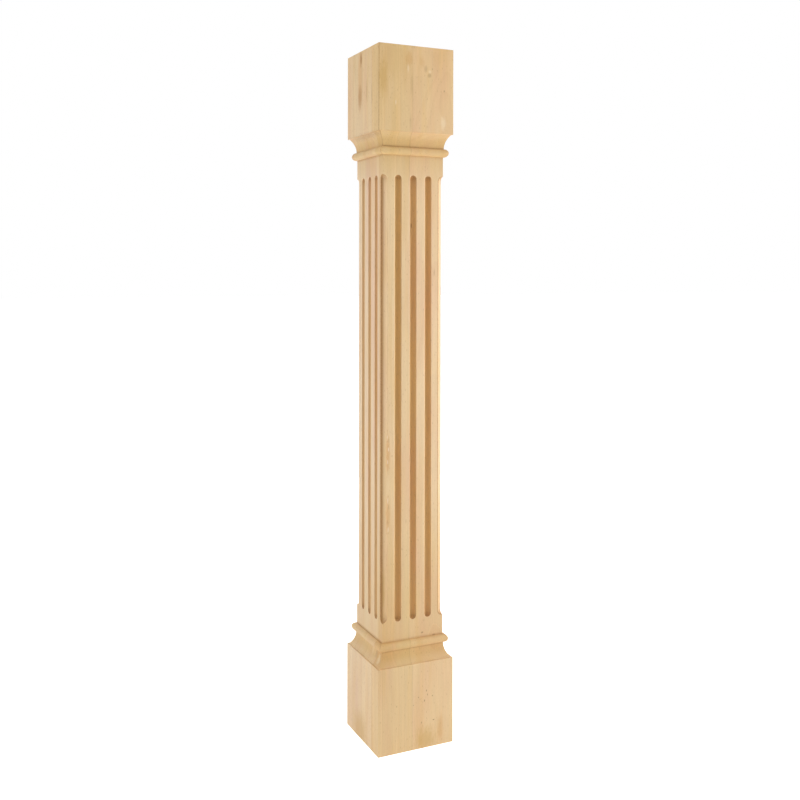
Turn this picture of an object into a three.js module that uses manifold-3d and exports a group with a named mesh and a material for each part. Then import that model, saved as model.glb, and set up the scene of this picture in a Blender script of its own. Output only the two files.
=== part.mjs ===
// A square hardwood post with fluted faces: a plain block at each end, a cove and a
// half-round bead cut across every face below and above it, and a narrower shaft with
// round-bottomed flutes on its faces and a scooped hollow down each corner.
//
// Millimetres, +Z up. The origin is the middle of the underside, and the faces of the
// post look along X and Y. The two halves of the post mirror each other in Z, so every
// height below is measured from the nearer end.

import * as THREE from "three";
import { mergeVertices } from "three/addons/utils/BufferGeometryUtils.js";
import Module from "manifold-3d";

const wasm = await Module();
wasm.setup();

// Driving sizes of the blank
const POST_HEIGHT = 1079.5;
const POST_WIDTH = 127;

// The plain end block and the narrow ledge between it and the cove
const BLOCK_HEIGHT = 132;
const LEDGE_DEPTH = 3.2;

// The cove is a hollow that ends upright at the neck, just short of the bead
const NECK_DEPTH = 11.1;
const NECK_HEIGHT = 154;
const COVE_RADIUS = 32;

// The half-round bead and the shaft it stands on
const BEAD_RADIUS = 6.5;
const BEAD_MIDDLE = 160.5;
const BEAD_CROWN_DEPTH = 5.2;
const SHAFT_DEPTH = 12;

// The carving of the shaft starts this far from each end of the post
const CARVING_START = 197;
const FLUTES_ON_A_FACE = 3;
const FLUTE_PITCH = 25.6;
const FLUTE_RADIUS = 5.5;
const CORNER_RADIUS = 7.7;

// How finely the round shapes are cut into flat facets
const COVE_STEPS = 10;
const BEAD_STEPS = 12;
const ROUND_SIDES = 28;
const END_STEPS = 7;

const SIDES = 4;
const QUARTER_TURN = Math.PI / 2;
const SHAFT_HALF_WIDTH = POST_WIDTH / 2 - SHAFT_DEPTH;

// The outline of one face in the lower half, as depth in from the face and height

function coveDepth(height) {
  const below = NECK_HEIGHT - height;
  const rise = COVE_RADIUS - Math.sqrt(COVE_RADIUS ** 2 - below ** 2);
  return NECK_DEPTH - rise;
}

function coveStartHeight() {
  const rise = NECK_DEPTH - LEDGE_DEPTH;
  return NECK_HEIGHT - Math.sqrt(COVE_RADIUS ** 2 - (COVE_RADIUS - rise) ** 2);
}

function coveOutline() {
  const start = coveStartHeight();
  const points = [];
  for (let step = 0; step <= COVE_STEPS; step += 1) {
    const height = start + ((NECK_HEIGHT - start) * step) / COVE_STEPS;
    points.push([coveDepth(height), height]);
  }
  return points;
}

// Where the bead's circle crosses a flat at the given depth
function beadAngleAt(depth) {
  const middleDepth = BEAD_CROWN_DEPTH + BEAD_RADIUS;
  return Math.acos((middleDepth - depth) / BEAD_RADIUS);
}

function beadOutline() {
  const middleDepth = BEAD_CROWN_DEPTH + BEAD_RADIUS;
  const first = -beadAngleAt(NECK_DEPTH);
  const last = beadAngleAt(SHAFT_DEPTH);
  const points = [];
  for (let step = 0; step <= BEAD_STEPS; step += 1) {
    const angle = first + ((last - first) * step) / BEAD_STEPS;
    const depth = middleDepth - BEAD_RADIUS * Math.cos(angle);
    points.push([depth, BEAD_MIDDLE + BEAD_RADIUS * Math.sin(angle)]);
  }
  return points;
}

function lowerOutline() {
  const block = [[0, 0], [0, BLOCK_HEIGHT], [LEDGE_DEPTH, BLOCK_HEIGHT]];
  return block.concat(coveOutline(), beadOutline());
}

// The blank: the outline run round four sides, mitred at the corners

function blankGeometry() {
  const lower = lowerOutline();
  const upper = lower.map(([depth, height]) => [depth, POST_HEIGHT - height]).reverse();
  const toCorner = Math.SQRT2;
  const profile = lower.concat(upper).map(
    ([depth, height]) => new THREE.Vector2((POST_WIDTH / 2 - depth) * toCorner, height),
  );
  profile.unshift(new THREE.Vector2(0, 0));
  profile.push(new THREE.Vector2(0, POST_HEIGHT));
  const blank = new THREE.LatheGeometry(profile, SIDES, QUARTER_TURN / 2);
  return blank.rotateX(QUARTER_TURN);
}

// A round-ended cutter that stands upright, its ends on the start of the carving

function cutterGeometry(radius, x, y) {
  const straight = POST_HEIGHT - 2 * (CARVING_START + radius);
  const cutter = new THREE.CapsuleGeometry(radius, straight, END_STEPS, ROUND_SIDES);
  cutter.rotateX(QUARTER_TURN);
  return cutter.translate(x, y, POST_HEIGHT / 2);
}

function fluteCutters() {
  const cutters = [];
  for (let side = 0; side < SIDES; side += 1) {
    for (let flute = 0; flute < FLUTES_ON_A_FACE; flute += 1) {
      const along = (flute - (FLUTES_ON_A_FACE - 1) / 2) * FLUTE_PITCH;
      const cutter = cutterGeometry(FLUTE_RADIUS, along, -SHAFT_HALF_WIDTH);
      cutters.push(cutter.rotateZ(side * QUARTER_TURN));
    }
  }
  return cutters;
}

function cornerCutters() {
  const cutters = [];
  for (let side = 0; side < SIDES; side += 1) {
    const cutter = cutterGeometry(CORNER_RADIUS, -SHAFT_HALF_WIDTH, -SHAFT_HALF_WIDTH);
    cutters.push(cutter.rotateZ(side * QUARTER_TURN));
  }
  return cutters;
}

function toSolid(geometry) {
  const bare = geometry.clone();
  bare.deleteAttribute("normal");
  bare.deleteAttribute("uv");
  const merged = mergeVertices(bare, 1e-4);
  const mesh = new wasm.Mesh({
    numProp: 3,
    vertProperties: new Float32Array(merged.attributes.position.array),
    triVerts: new Uint32Array(merged.index.array),
  });
  return new wasm.Manifold(mesh);
}

function toGeometry(solid) {
  const mesh = solid.getMesh();
  const geometry = new THREE.BufferGeometry();
  geometry.setAttribute("position", new THREE.BufferAttribute(mesh.vertProperties, 3));
  geometry.setIndex(new THREE.BufferAttribute(mesh.triVerts, 1));
  geometry.computeVertexNormals();
  return geometry;
}

function postGeometry() {
  let post = toSolid(blankGeometry());
  for (const cutter of fluteCutters().concat(cornerCutters())) {
    post = post.subtract(toSolid(cutter));
  }
  return toGeometry(post);
}

const maple = new THREE.MeshStandardMaterial({
  color: 0xe2bd90,
  roughness: 0.62,
  metalness: 0,
});

const post = new THREE.Mesh(postGeometry(), maple);
post.name = "fluted_post";

const model = new THREE.Group();
model.add(post);

export default model;
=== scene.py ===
"""A square fluted post of pale hardwood, bare from the sander, standing on a pale floor.

The post is one glued-up blank: four thick boards face to face, each edge-jointed from two.
Plain blocks end it, a cove and a half-round bead are cut across every face next to them,
and the shaft between carries round-bottomed flutes and a scooped hollow down each corner.
"""

import logging
import math
from dataclasses import dataclass, field, fields, replace
from enum import Enum, IntEnum
from typing import ClassVar, Iterable, Sequence

import bpy
import numpy as np
from mathutils import Matrix, Vector, noise


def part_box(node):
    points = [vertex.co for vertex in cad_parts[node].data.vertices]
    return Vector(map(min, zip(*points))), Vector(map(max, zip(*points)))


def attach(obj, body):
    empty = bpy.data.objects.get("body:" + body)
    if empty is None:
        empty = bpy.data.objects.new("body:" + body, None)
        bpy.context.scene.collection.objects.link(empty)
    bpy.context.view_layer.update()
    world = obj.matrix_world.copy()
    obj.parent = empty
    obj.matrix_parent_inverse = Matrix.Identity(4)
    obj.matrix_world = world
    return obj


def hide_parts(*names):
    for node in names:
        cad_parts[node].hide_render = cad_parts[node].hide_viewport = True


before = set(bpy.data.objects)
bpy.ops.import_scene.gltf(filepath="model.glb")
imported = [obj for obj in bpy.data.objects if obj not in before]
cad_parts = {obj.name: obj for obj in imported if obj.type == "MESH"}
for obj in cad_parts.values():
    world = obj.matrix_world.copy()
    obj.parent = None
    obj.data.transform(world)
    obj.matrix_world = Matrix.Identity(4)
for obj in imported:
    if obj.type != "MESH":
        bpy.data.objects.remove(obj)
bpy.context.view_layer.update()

POST_NODE = "fluted_post"
POST_BODY = "root"

MM = 0.001
SIDES = 4
QUARTER_TURN = math.pi / 2

log = logging.getLogger("fluted_post")

Colour = tuple[float, float, float, float]
Triple = tuple[float, float, float]
Stops = tuple[tuple[float, float], ...]
Socket = bpy.types.NodeSocket
Source = Socket | float | int | Sequence[float]

WHITE: Colour = (1.0, 1.0, 1.0, 1.0)


def linear(hex_colour: str) -> Colour:
    """Turns a screen colour into the linear one that shaders use.

    Args:
        hex_colour: Six hexadecimal digits.

    Returns:
        Red, green, blue and an alpha of 1.
    """
    channels = [int(hex_colour[i : i + 2], 16) / 255 for i in (0, 2, 4)]
    low, slope, offset, power = 0.04045, 12.92, 0.055, 2.4
    values = [
        c / slope if c <= low else ((c + offset) / (1 + offset)) ** power
        for c in channels
    ]
    return (values[0], values[1], values[2], 1.0)


# The shape of the post


class End(Enum):
    """The two ends of the post."""

    FOOT = "foot"
    HEAD = "head"


class Grain(IntEnum):
    """Which grain a face shows, numbered as the post's finishes are."""

    SIDE = 0
    END = 1


@dataclass(frozen=True)
class PostSizes:
    """Driving sizes of the post in millimetres, heights measured from the nearer end."""

    height: float
    width: float
    block_height: float = 132.0
    ledge_depth: float = 3.2
    neck_depth: float = 11.1
    neck_height: float = 154.0
    cove_radius: float = 32.0
    bead_radius: float = 6.5
    bead_middle: float = 160.5
    bead_crown_depth: float = 5.2
    shaft_depth: float = 12.0
    carving_start: float = 197.0
    flute_count: int = 3
    flute_pitch: float = 25.6
    flute_radius: float = 5.5
    corner_radius: float = 7.7
    end_ease: float = 0.7
    corner_ease: float = 0.6
    head_corner_ease: float = 1.1
    lip_ease: float = 0.45

    @classmethod
    def from_frame(cls) -> "PostSizes":
        """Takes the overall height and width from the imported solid."""
        low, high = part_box(POST_NODE)
        return cls(height=(high.z - low.z) / MM, width=(high.x - low.x) / MM)

    @property
    def shaft_half(self) -> float:
        """Half the width of the shaft."""
        return self.width / 2 - self.shaft_depth

    def flute_middles(self) -> list[float]:
        """The middle of each flute across a face."""
        half = (self.flute_count - 1) / 2
        return [(i - half) * self.flute_pitch for i in range(self.flute_count)]


@dataclass(frozen=True)
class Row:
    """One level of the outline: its height, and its depth in from the face of the block.

    torn says how much a cutter has torn the grain there, and crevice_shades how much painted
    shade darkens a sharp inner corner on each side, all from 0 to 1.
    """

    height: float
    depth: float
    torn: float = 0.0
    crevice_shades: tuple[float, ...] = (0.0,) * SIDES


@dataclass(frozen=True)
class Outline:
    """The outline of a face, as rows from one end of the post to the start of the carving.

    neck_shade and shaft_shade say how much painted shade darkens the inner corners below and
    above the bead, one share for each side, from the front one round by +X; the shares differ
    from side to side with how the light falls.
    """

    sizes: PostSizes
    block_step: float = 6.0
    collar_step: float = 4.0
    ease_steps: int = 3
    cove_steps: int = 18
    bead_steps: int = 18
    arris_ease: float = 0.45
    cove_torn_first: float = 0.12
    cove_torn_last: float = 0.45
    cove_torn_rise: float = 12.0
    bead_torn: float = 0.3
    crevice_reach: float = 2.0
    # Painted shade in the inner corners below and above the bead, a share for each side
    neck_shade: tuple[float, ...] = (0.85, 0.8, 0.7, 0.15)
    shaft_shade: tuple[float, ...] = (0.4, 0.5, 0.5, 0.7)

    def quarter_round(self, height: float, depth: float, radius: float) -> list[Row]:
        """Rows that round off an arris between an upright face and a level one above it.

        Args:
            height: Height of the level face.
            depth: Depth of the upright face.
            radius: Radius of the rounding.

        Returns:
            Rows from the upright face up and in to the level one.
        """
        rows = []
        for step in range(self.ease_steps + 1):
            angle = QUARTER_TURN * step / self.ease_steps
            up = height - radius * (1 - math.sin(angle))
            rows.append(Row(up, depth + radius * (1 - math.cos(angle))))
        return rows

    def end_rows(self) -> list[Row]:
        """Rows round the sawn end's edge, from the end up to the face of the block.

        Returns:
            The rows, the one on the sawn end first.
        """
        ease = self.sizes.end_ease
        rounded = self.quarter_round(0.0, 0.0, ease)
        return [Row(-row.height, row.depth) for row in reversed(rounded)]

    def block_rows(self) -> list[Row]:
        """Rows up the plain block and in over its ledge.

        Returns:
            The rows, the last one on the ledge.
        """
        sizes = self.sizes
        first = sizes.end_ease
        last = sizes.block_height - self.arris_ease
        count = round((last - first) / self.block_step)
        rows = [Row(first + (last - first) * i / count, 0.0) for i in range(1, count)]
        rows += self.quarter_round(sizes.block_height, 0.0, self.arris_ease)
        rows.append(Row(sizes.block_height, sizes.ledge_depth))
        return rows

    def cove_rows(self) -> list[Row]:
        """Rows up the hollow, which ends upright at the neck.

        Returns:
            The rows, from the ledge to the neck.
        """
        sizes = self.sizes
        rise = sizes.neck_depth - sizes.ledge_depth
        reach = math.acos((sizes.cove_radius - rise) / sizes.cove_radius)
        rows = []
        for step in range(self.cove_steps + 1):
            angle = reach * (1 - step / self.cove_steps)
            height = sizes.neck_height - sizes.cove_radius * math.sin(angle)
            depth = sizes.neck_depth - sizes.cove_radius * (1 - math.cos(angle))
            crevice_shades = self.painted_shade(sizes.neck_height - height, math.inf)
            rows.append(Row(height, depth, self.torn_in_cove(height), crevice_shades))
        return rows

    def torn_in_cove(self, height: float) -> float:
        """How torn the cove is at a height: the grain tears more as it gets steeper."""
        share = min(1.0, (height - self.sizes.block_height) / self.cove_torn_rise)
        return self.cove_torn_first + (self.cove_torn_last - self.cove_torn_first) * share

    def painted_shade(self, from_neck: float, from_shaft: float) -> tuple[float, ...]:
        """How much painted shade the two inner corners at the bead get on each side of the
        post.

        Args:
            from_neck: Distance from the corner at the neck.
            from_shaft: Distance from the corner at the shaft.

        Returns:
            The painted shade on each side, from 0 to 1.
        """
        neck = max(0.0, 1 - from_neck / self.crevice_reach)
        shaft = max(0.0, 1 - from_shaft / self.crevice_reach)
        pairs = zip(self.neck_shade, self.shaft_shade)
        return tuple(max(neck * at_neck, shaft * at_shaft) for at_neck, at_shaft in pairs)

    def bead_rows(self) -> list[Row]:
        """Rows round the bead, from the neck to the shaft.

        Returns:
            The rows, the last one at the depth of the shaft.
        """
        sizes = self.sizes
        middle = sizes.bead_crown_depth + sizes.bead_radius
        first = -math.acos((middle - sizes.neck_depth) / sizes.bead_radius)
        last = math.acos((middle - sizes.shaft_depth) / sizes.bead_radius)
        rows = []
        for step in range(self.bead_steps + 1):
            angle = first + (last - first) * step / self.bead_steps
            height = sizes.bead_middle + sizes.bead_radius * math.sin(angle)
            depth = middle - sizes.bead_radius * math.cos(angle)
            crevice_shades = self.painted_shade(
                sizes.bead_radius * (angle - first), sizes.bead_radius * (last - angle)
            )
            rows.append(Row(height, depth, self.bead_torn, crevice_shades))
        return rows

    def collar_rows(self) -> list[Row]:
        """Rows up the plain collar to the start of the carving.

        Returns:
            The rows, all at the depth of the shaft.
        """
        sizes = self.sizes
        first = self.bead_rows()[-1].height
        count = round((sizes.carving_start - first) / self.collar_step)
        step = (sizes.carving_start - first) / count
        return [Row(first + step * i, sizes.shaft_depth) for i in range(1, count + 1)]

    def rows(self) -> list[Row]:
        """Puts the stretches of the outline together.

        Returns:
            The rows, in order of going up from the end.
        """
        return (
            self.end_rows()
            + self.block_rows()
            + self.cove_rows()
            + self.bead_rows()
            + self.collar_rows()
        )


@dataclass(frozen=True)
class Paint:
    """What the finish needs to know at a mesh point, each from 0 to 1.

    hollow_shade is painted shade in a flute or scoop, deeper in a flute and towards the shut
    lip of a scoop; across is how much the cutter went across the grain; wear_and_highlight is
    wear on an arris, a lip or the open side of a scoop together with a painted highlight there;
    sanded_and_lit is how much a sanding block has paled it, together with painted light; and
    crevice_shade is painted shade in inner corners, at hollows' tips, along a scoop's shut lip
    and on the head block's arrises.
    """

    hollow_shade: float = 0.0
    across: float = 0.0
    wear_and_highlight: float = 0.0
    sanded_and_lit: float = 0.0
    crevice_shade: float = 0.0


@dataclass
class Ring:
    """One closed ring of mesh points round the post, in the order that stitching needs."""

    indices: list[int]
    carved: bool


@dataclass
class FlutedPost:
    """The post: it builds its own mesh and takes on its finishes.

    foot_sanding_and_light and head_sanding_and_light pair a distance from that end, in
    millimetres, with how much the sanding block has paled the post there, and with painted
    light: the lower block is paler than the upper one, which darkens towards its end.
    cap_scales are the sizes of the rings that close a sawn end, as shares of its edge.
    LIP_SPREAD is how far out the points of a lip's rounding lie, as shares of its ease. Lips
    are eased less where a hollow's radius is under lip_fade times their ease, and shut_turn
    says how fast the painted shade of a scoop fades from its shut lip. Wear and highlight,
    painted shade, and sanding and light are shares from 0 to 1.
    """

    LIP_SPREAD: ClassVar[tuple[float, ...]] = (1.0, 0.3)
    SMALLEST_RADIUS: ClassVar[float] = 1e-6

    sizes: PostSizes
    name: str = "carved_post"
    plain_corner_points: int = 5
    land_points: int = 6
    scoop_steps: int = 12
    flute_steps: int = 16
    tip_steps: int = 12
    shaft_step: float = 6.0
    cap_scales: tuple[float, ...] = (0.25, 0.5, 0.75, 0.92)
    widest_lip: float = math.radians(12)
    lip_fade: float = 3.0
    # Painted highlight towards a scoop's open lip
    scoop_highlight: float = 0.9
    shut_turn: float = 2.4
    # Painted shade on a scoop's shut lip and along the arrises of the head block
    shut_lip_shade: float = 0.9
    head_corner_shade: float = 1.0
    # Wear with a painted highlight on the other arrises
    arris_wear_and_highlight: float = 0.6
    # Painted shade in the pocket at each hollow's tip
    tip_shade: float = 0.9
    tip_shade_reach: float = 9.0
    # Paleness from sanding together with painted light, by distance from each end
    foot_sanding_and_light: Stops = (
        (0, 0.45), (131, 0.45), (134, 0), (168, 0), (230, 0.15), (294, 0.5), (360, 0.86),
        (420, 1),
    )
    head_sanding_and_light: Stops = (
        (0, 0), (40, 0), (131, 0.3), (134, 0), (168, 0), (182, 0.15), (197, 0.5),
        (211, 0.86), (225, 1),
    )
    waver: float = 0.12
    waver_reach: Vector = field(default_factory=lambda: Vector((22.0, 22.0, 90.0)))
    sharp_angle: float = math.radians(48)
    even_weight: int = 100
    points: list[Vector] = field(default_factory=list)
    faces: list[tuple[int, ...]] = field(default_factory=list)
    face_finish: list[int] = field(default_factory=list)
    paints: list[Paint] = field(default_factory=list)

    # Points

    def add_point(
        self, side: int, along: float, depth: float, height: float, half: float,
        paint: Paint,
    ) -> int:
        """Adds a mesh point given in the frame of one side.

        Args:
            side: Which side, counted by quarter turns.
            along: Place across the face, from its middle.
            depth: Depth in from the face.
            height: Height above the underside.
            half: Half the width of the post at this height.
            paint: What the finish needs to know here.

        Returns:
            The index of the point.
        """
        turn = Matrix.Rotation(side * QUARTER_TURN, 3, "Z")
        place = turn @ Vector((along, depth - half, height))
        reach = self.waver_reach
        spot = Vector((place.x / reach.x, place.y / reach.y, place.z / reach.z))
        drift = self.waver * (1 + noise.noise(spot)) / 2
        shrink = 1 - max(0.0, drift) / half
        self.points.append(Vector((place.x * shrink, place.y * shrink, place.z)) * MM)
        self.paints.append(paint)
        return len(self.points) - 1

    def sanded_and_lit_at(self, height: float) -> float:
        """How much the sanding block has paled the post at a height, together with the painted
        light there.

        Args:
            height: Height above the underside.

        Returns:
            The share, from 0 to 1.
        """
        below = np.interp(height, *zip(*self.foot_sanding_and_light))
        above = np.interp(self.sizes.height - height, *zip(*self.head_sanding_and_light))
        return float(min(below, above))

    def eased_corner(self, angle: float, ease: float) -> float:
        """Distance from a square corner to its rounding, along a line at an angle.

        Args:
            angle: Angle of the line from the face of the side before.
            ease: Radius of the rounding.

        Returns:
            The distance, in the unit of the radius.
        """
        total = math.sin(angle) + math.cos(angle)
        twice = 2 * math.sin(angle) * math.cos(angle)
        return ease * (total - math.sqrt(max(0.0, twice)))

    def hollow_angles(self, radius: float, sweep: float, steps: int) -> list[float]:
        """Angles of a hollow's section, crowded at its two lips.

        Args:
            radius: Radius of the hollow at this height.
            sweep: How far the section turns.
            steps: Steps between the lips' roundings.

        Returns:
            The angles, from one lip to the other.
        """
        lip = self.lip_ease_at(radius) / max(radius, self.SMALLEST_RADIUS)
        lip = min(lip, self.widest_lip)
        inner = [lip + (sweep - 2 * lip) * i / steps for i in range(steps + 1)]
        return [0.0, lip / 2] + inner + [sweep - lip / 2, sweep]

    def lip_ease_at(self, radius: float) -> float:
        """Width of the rounding on a lip, which fades out where the hollow runs out."""
        full = self.sizes.lip_ease
        return full * min(1.0, radius / (self.lip_fade * full))

    def hollow_reach(self, radius: float, position: int, last: int) -> float:
        """Radius of a hollow's section at one of its points, larger on the lips.

        Args:
            radius: Radius of the hollow at this height.
            position: The number of the point.
            last: The number of the last point.

        Returns:
            The distance of the point from the middle of the hollow.
        """
        if not self.on_lip(position, last):
            return radius
        spread = self.LIP_SPREAD[min(position, last - position)]
        return radius + self.lip_ease_at(radius) * spread

    def on_lip(self, position: int, last: int) -> bool:
        """Whether a point of a hollow's section is on the rounding of one of its lips."""
        return min(position, last - position) < len(self.LIP_SPREAD)

    def plain_ring(
        self, height: float, half: float, ease: float, across: float = 0.0,
        crevice_shades: Sequence[float] = (0.0,) * SIDES, corner_shade: float = 0.0,
    ) -> Ring:
        """A ring where the section is a square with eased corners.

        Args:
            height: Height above the underside.
            half: Half the width of the square.
            ease: Radius of the eased corners.
            across: How far the surface here is cut across the grain.
            crevice_shades: How much painted shade lies here on each side.
            corner_shade: How much painted shade darkens the eased corners.

        Returns:
            The ring, with one point where each flute would start.
        """
        spread = half / self.sizes.shaft_half
        stops = [middle * spread for middle in self.sizes.flute_middles()]
        sanded_and_lit = self.sanded_and_lit_at(height)
        # Arrises get wear with a painted highlight, unless painted shade darkens them
        arris_brightening = 0.0 if corner_shade else self.arris_wear_and_highlight
        last = self.plain_corner_points - 1
        indices = []
        for side, crevice_shade in enumerate(crevice_shades):
            face = Paint(across=across, sanded_and_lit=sanded_and_lit, crevice_shade=crevice_shade)
            arris = replace(face, wear_and_highlight=arris_brightening, crevice_shade=max(crevice_shade, corner_shade))
            for i in range(last + 1):
                angle = QUARTER_TURN * i / last
                reach = self.eased_corner(angle, ease)
                along = -half + reach * math.sin(angle)
                depth = reach * math.cos(angle)
                point = arris if 0 < i < last else face
                indices.append(self.add_point(side, along, depth, height, half, point))
            edges = [-half + ease] + stops + [half - ease]
            for start, end in zip(edges, edges[1:]):
                indices += self.add_land(side, start, end, height, half, face)
                if end != edges[-1]:
                    indices.append(self.add_point(side, end, 0, height, half, face))
        return Ring(indices, carved=False)

    def add_land(
        self, side: int, start: float, end: float, height: float, half: float, paint: Paint,
    ) -> list[int]:
        """Adds the points of a plain stretch of a face, without its two ends.

        Args:
            side: Which side, counted by quarter turns.
            start: Where the stretch begins, across the face.
            end: Where it ends.
            height: Height above the underside.
            half: Half the width of the post at this height.
            paint: What the finish needs to know here.

        Returns:
            The indices of its points.
        """
        count = self.land_points + 1
        places = [start + (end - start) * i / count for i in range(1, count)]
        return [self.add_point(side, along, 0, height, half, paint) for along in places]

    def carved_ring(self, height: float, into: float) -> Ring:
        """A ring of the shaft with its flutes and corner scoops.

        Args:
            height: Height above the underside.
            into: Distance from the start of the carving.

        Returns:
            The ring.
        """
        sizes = self.sizes
        half = sizes.shaft_half
        scoop = self.radius_at(sizes.corner_radius, into)
        flute = self.radius_at(sizes.flute_radius, into)
        scoop_angles = self.hollow_angles(scoop, QUARTER_TURN, self.scoop_steps)
        flute_angles = self.hollow_angles(flute, math.pi, self.flute_steps)
        scoop_lip = self.hollow_reach(scoop, 0, len(scoop_angles) - 1)
        flute_lip = self.hollow_reach(flute, 0, len(flute_angles) - 1)
        painted_shade = self.shade_at_tip(into)
        face = Paint(sanded_and_lit=self.sanded_and_lit_at(height))
        indices = []
        for side in range(SIDES):
            indices += self.scoop_points(side, height, scoop, scoop_angles, painted_shade)
            start = -half + scoop_lip
            for middle in sizes.flute_middles():
                end = middle - flute_lip
                indices += self.add_land(side, start, end, height, half, face)
                indices += self.flute_points(side, middle, height, flute, flute_angles, painted_shade)
                start = middle + flute_lip
            indices += self.add_land(side, start, half - scoop_lip, height, half, face)
        return Ring(indices, carved=True)

    def shade_at_tip(self, into: float) -> float:
        """How much painted shade the pocket at a hollow's tip gets, by distance from the tip.
        """
        return self.tip_shade * max(0.0, 1 - into / self.tip_shade_reach)

    def scoop_points(
        self, side: int, height: float, radius: float, angles: Sequence[float], painted_shade: float,
    ) -> list[int]:
        """Adds the section of the scooped hollow at the first corner of a side.

        Its colour carries painted shade, darkest at its lip on the side before, and a painted
        highlight that grows towards the lip on this one.

        Args:
            side: Which side, counted by quarter turns.
            height: Height above the underside.
            radius: Radius of the hollow at this height.
            angles: Angles of the section, from lip to lip.
            painted_shade: How much painted shade lies in it.

        Returns:
            The indices of its points.
        """
        half = self.sizes.shaft_half
        last = len(angles) - 1
        sanded_and_lit = self.sanded_and_lit_at(height)
        # Painted shade on the shut lip, and a painted highlight on the open one
        shut_lip = Paint(hollow_shade=1.0, sanded_and_lit=sanded_and_lit, crevice_shade=self.shut_lip_shade)
        open_lip = Paint(wear_and_highlight=self.scoop_highlight, sanded_and_lit=sanded_and_lit)
        indices = []
        for i, angle in enumerate(angles):
            rounding = self.eased_corner(angle, self.sizes.corner_ease)
            reach = max(self.hollow_reach(radius, i, last), rounding)
            along = -half + reach * math.sin(angle)
            depth = reach * math.cos(angle)
            # Painted shade fades from the shut lip and gives way to a painted highlight
            shut = max(0.0, math.cos(self.shut_turn * angle))
            paint = Paint(
                hollow_shade=shut, wear_and_highlight=self.scoop_highlight * (1 - shut), sanded_and_lit=sanded_and_lit,
                crevice_shade=max(painted_shade, self.shut_lip_shade * shut),
            )
            if self.on_lip(i, last):
                paint = shut_lip if angle < QUARTER_TURN / 2 else open_lip
            indices.append(self.add_point(side, along, depth, height, half, paint))
        return indices

    def flute_points(
        self, side: int, middle: float, height: float, radius: float,
        angles: Sequence[float], painted_shade: float,
    ) -> list[int]:
        """Adds the section of one flute.

        Args:
            side: Which side, counted by quarter turns.
            middle: Middle of the flute across the face.
            height: Height above the underside.
            radius: Radius of the flute at this height.
            angles: Angles of the section, from lip to lip.
            painted_shade: How much painted shade lies in it.

        Returns:
            The indices of its points.
        """
        half = self.sizes.shaft_half
        last = len(angles) - 1
        # The lips carry wear with a painted highlight
        lip = Paint(wear_and_highlight=1.0, sanded_and_lit=self.sanded_and_lit_at(height))
        indices = []
        for i, angle in enumerate(angles):
            reach = self.hollow_reach(radius, i, last)
            along = middle - reach * math.cos(angle)
            depth = reach * math.sin(angle)
            # Painted shade grows with depth in the flute, and in the pocket at its tip
            hollow = Paint(hollow_shade=depth / self.sizes.flute_radius, crevice_shade=painted_shade)
            paint = lip if self.on_lip(i, last) else hollow
            indices.append(self.add_point(side, along, depth, height, half, paint))
        return indices

    @staticmethod
    def radius_at(radius: float, into: float) -> float:
        """Radius of a ball-ended hollow at a distance in from its tip.

        Args:
            radius: Radius of the hollow where it runs straight.
            into: Distance in from its tip.

        Returns:
            The radius there.
        """
        if into >= radius:
            return radius
        return math.sqrt(max(0.0, radius**2 - (radius - into) ** 2))

    # Stitching

    def plain_place_of_carved(self) -> list[int]:
        """Pairs each point of a carved ring with the plain ring's point it grows from.

        Returns:
            A place in the plain ring for each place in the carved one.
        """
        places = []
        place = 0
        on_lips = 2 * len(self.LIP_SPREAD)
        last_scoop = self.scoop_steps + on_lips
        last_corner = self.plain_corner_points - 1
        for _ in range(SIDES):
            for i in range(last_scoop + 1):
                places.append(place + round(last_corner * i / last_scoop))
            place += self.plain_corner_points
            for flute in range(self.sizes.flute_count + 1):
                places += range(place, place + self.land_points)
                place += self.land_points
                if flute < self.sizes.flute_count:
                    places += [place] * (self.flute_steps + 1 + on_lips)
                    place += 1
        return places

    def stitch(self, lower: Ring, upper: Ring, grain: Grain) -> None:
        """Adds the faces between two rings.

        Args:
            lower: The ring below, or nearer the middle of the underside.
            upper: The ring above, or nearer the middle of the top.
            grain: Which grain shows on these faces.
        """
        below, above = lower.indices, upper.indices
        if lower.carved != upper.carved:
            places = self.plain_place_of_carved()
            if lower.carved:
                above = [above[place] for place in places]
            else:
                below = [below[place] for place in places]
        count = len(below)
        for i in range(count):
            j = (i + 1) % count
            loop = [below[i], below[j], above[j], above[i]]
            corners = tuple(dict.fromkeys(loop))
            if len(corners) > 2:
                self.faces.append(corners)
                self.face_finish.append(grain)

    def cap(self, ring: Ring, height: float, end: End) -> None:
        """Closes the innermost ring of a sawn end with a fan of faces.

        Args:
            ring: The innermost ring.
            height: Height of the end.
            end: Which end it is.
        """
        self.points.append(Vector((0, 0, height)) * MM)
        self.paints.append(Paint(across=1.0))
        middle = len(self.points) - 1
        count = len(ring.indices)
        for i in range(count):
            a, b = ring.indices[i], ring.indices[(i + 1) % count]
            self.faces.append((a, b, middle) if end is End.HEAD else (b, a, middle))
            self.face_finish.append(Grain.END)

    # The whole mesh

    def carved_levels(self) -> list[float]:
        """Distances from the start of the carving up to the middle of the post.

        Returns:
            The distances, close together where the hollows begin.
        """
        sizes = self.sizes
        tip = sizes.corner_radius
        levels = [
            tip * (1 - math.cos(QUARTER_TURN * i / self.tip_steps))
            for i in range(1, self.tip_steps + 1)
        ]
        middle = sizes.height / 2 - sizes.carving_start
        count = round((middle - tip) / self.shaft_step)
        levels += [tip + (middle - tip) * i / count for i in range(1, count + 1)]
        return levels

    def half_rings(self, end: End) -> list[Ring]:
        """Rings of one half of the post, from its end to just short of its middle.

        Args:
            end: Which end the half belongs to.

        Returns:
            The rings, the innermost ring of the sawn end first.
        """
        sizes = self.sizes
        at_head = end is End.HEAD
        block_ease = sizes.head_corner_ease if at_head else sizes.corner_ease

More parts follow.
